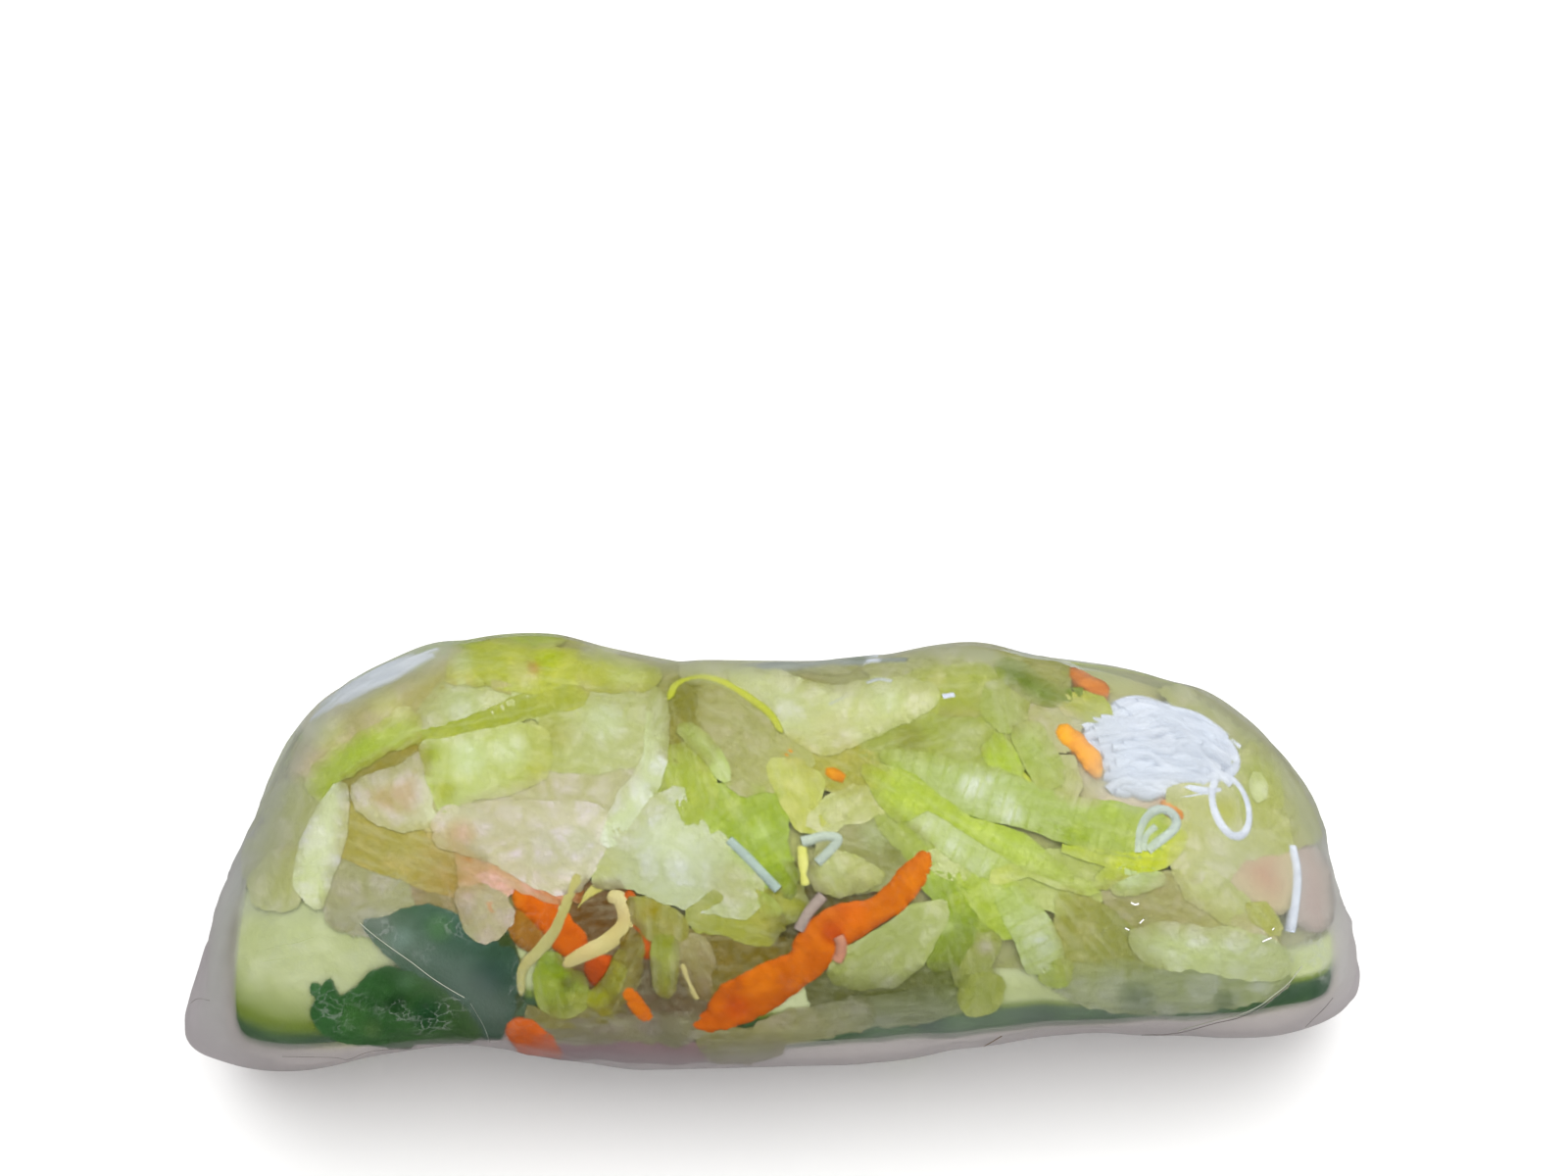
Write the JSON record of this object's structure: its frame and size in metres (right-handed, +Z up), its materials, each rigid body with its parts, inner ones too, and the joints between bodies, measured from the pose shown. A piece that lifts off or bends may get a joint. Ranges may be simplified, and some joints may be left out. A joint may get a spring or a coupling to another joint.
{
  "type": "rice paper roll",
  "caption": "Fresh rice paper roll: a clear, wet sheet of rice paper wrapped and tucked round a packed vegetable filling, lying on its flat underside.",
  "frame": {"origin": "on the surface the roll lies on, under the middle of its bounding box", "axes": "+X along the roll to its slimmer end, -Y towards its shown front, +Z up"},
  "size_m": [0.127, 0.0486, 0.0396],
  "materials": {
    "rice_paper": "wet, glossy and see-through rice paper, milky where layers lie over each other, with the filling showing through"
  },
  "bodies": {
    "root": {"rice_paper_roll": "rice_paper"}
  },
  "joints": []
}
